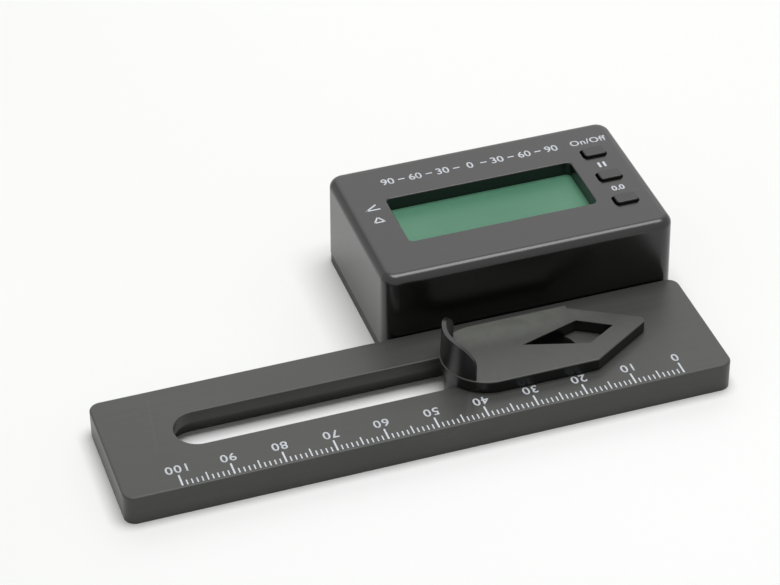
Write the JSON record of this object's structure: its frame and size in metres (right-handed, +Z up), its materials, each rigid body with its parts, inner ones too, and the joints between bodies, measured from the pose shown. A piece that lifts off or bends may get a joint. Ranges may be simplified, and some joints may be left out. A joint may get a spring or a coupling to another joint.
{
  "type": "digital inclinometer",
  "caption": "Pocket electronic angle gauge: a flat slotted ruler with a sliding arrow pointer, and a small display box with push keys behind it.",
  "frame": {"origin": "on the surface that the gauge lies on, under the middle of its bounding box", "axes": "+X along the ruler towards the zero end of its scale, +Y from the ruler to the display box, +Z up out of the display"},
  "size_m": [0.1214, 0.0676, 0.021],
  "materials": {
    "ruler_plastic": "fine satin moulded surface, dark grey",
    "housing_plastic": "fine satin moulded surface, dark grey",
    "slider_plastic": "semi-gloss moulded surface, near black",
    "key_plastic": "satin moulded surface, dark grey",
    "display_glass": "smooth, with a grey-green polariser",
    "reflector_film": "matte pale grey-green film",
    "connector_rubber": "matte striped silicone",
    "board_laminate": "green solder mask",
    "chip_resin": "matte moulded resin",
    "capacitor_ceramic": "fired ceramic with tinned ends",
    "resistor_ceramic": "glazed, with tinned ends",
    "switch_plastic": "moulded, matte",
    "plunger_plastic": "moulded, matte ivory",
    "cell_steel": "brushed bright steel",
    "contact_metal": "nickel-plated spring strip",
    "spring_steel": "rolled spring strip",
    "screw_steel": "zinc-plated, satin",
    "print_ink": "white pad-printed ink, matte"
  },
  "bodies": {
    "gauge": {"ruler_plate": "ruler_plastic", "upper_housing": "housing_plastic", "bottom_cover": "housing_plastic", "battery_cell": "cell_steel", "negative_contact": "contact_metal", "positive_contact": "contact_metal", "circuit_board": "board_laminate", "lcd_panel": "display_glass", "lcd_reflector": "reflector_film", "lcd_connector_front": "connector_rubber", "lcd_connector_rear": "connector_rubber", "controller_chip": "chip_resin", "tilt_sensor": "chip_resin", "crystal": "cell_steel", "capacitors": "capacitor_ceramic", "resistors": "resistor_ceramic", "power_switch": "switch_plastic", "hold_switch": "switch_plastic", "zero_switch": "switch_plastic", "housing_screws": "screw_steel", "ruler_screw": "screw_steel", "board_screws": "screw_steel"},
    "slider": {"slider_plate": "slider_plastic", "slider_retainer": "slider_plastic", "friction_spring": "spring_steel", "retainer_screws": "screw_steel"},
    "battery_door": {"battery_door": "housing_plastic"},
    "power_key": {"power_button": "key_plastic", "power_plunger": "plunger_plastic"},
    "hold_key": {"hold_button": "key_plastic", "hold_plunger": "plunger_plastic"},
    "zero_key": {"zero_button": "key_plastic", "zero_plunger": "plunger_plastic"}
  },
  "joints": [
    {"name": "slider_slide", "type": "slide", "parent": "gauge", "child": "slider", "axis": [-1, 0, 0], "range_m": [-0.0024, 0.054]},
    {"name": "power_press", "type": "slide", "parent": "gauge", "child": "power_key", "axis": [0, 0, -1], "range_m": [0, 0.0004], "stiffness_N_per_m": 3000, "springref_m": -0.0001},
    {"name": "hold_press", "type": "slide", "parent": "gauge", "child": "hold_key", "axis": [0, 0, -1], "range_m": [0, 0.0004], "stiffness_N_per_m": 3000, "springref_m": -0.0001},
    {"name": "zero_press", "type": "slide", "parent": "gauge", "child": "zero_key", "axis": [0, 0, -1], "range_m": [0, 0.0004], "stiffness_N_per_m": 3000, "springref_m": -0.0001},
    {"name": "door_turn", "type": "hinge", "parent": "gauge", "child": "battery_door", "pos_m": [0.0225, 0.01663, 0.001], "axis": [0, 0, 1], "range_deg": [0, 45]}
  ]
}
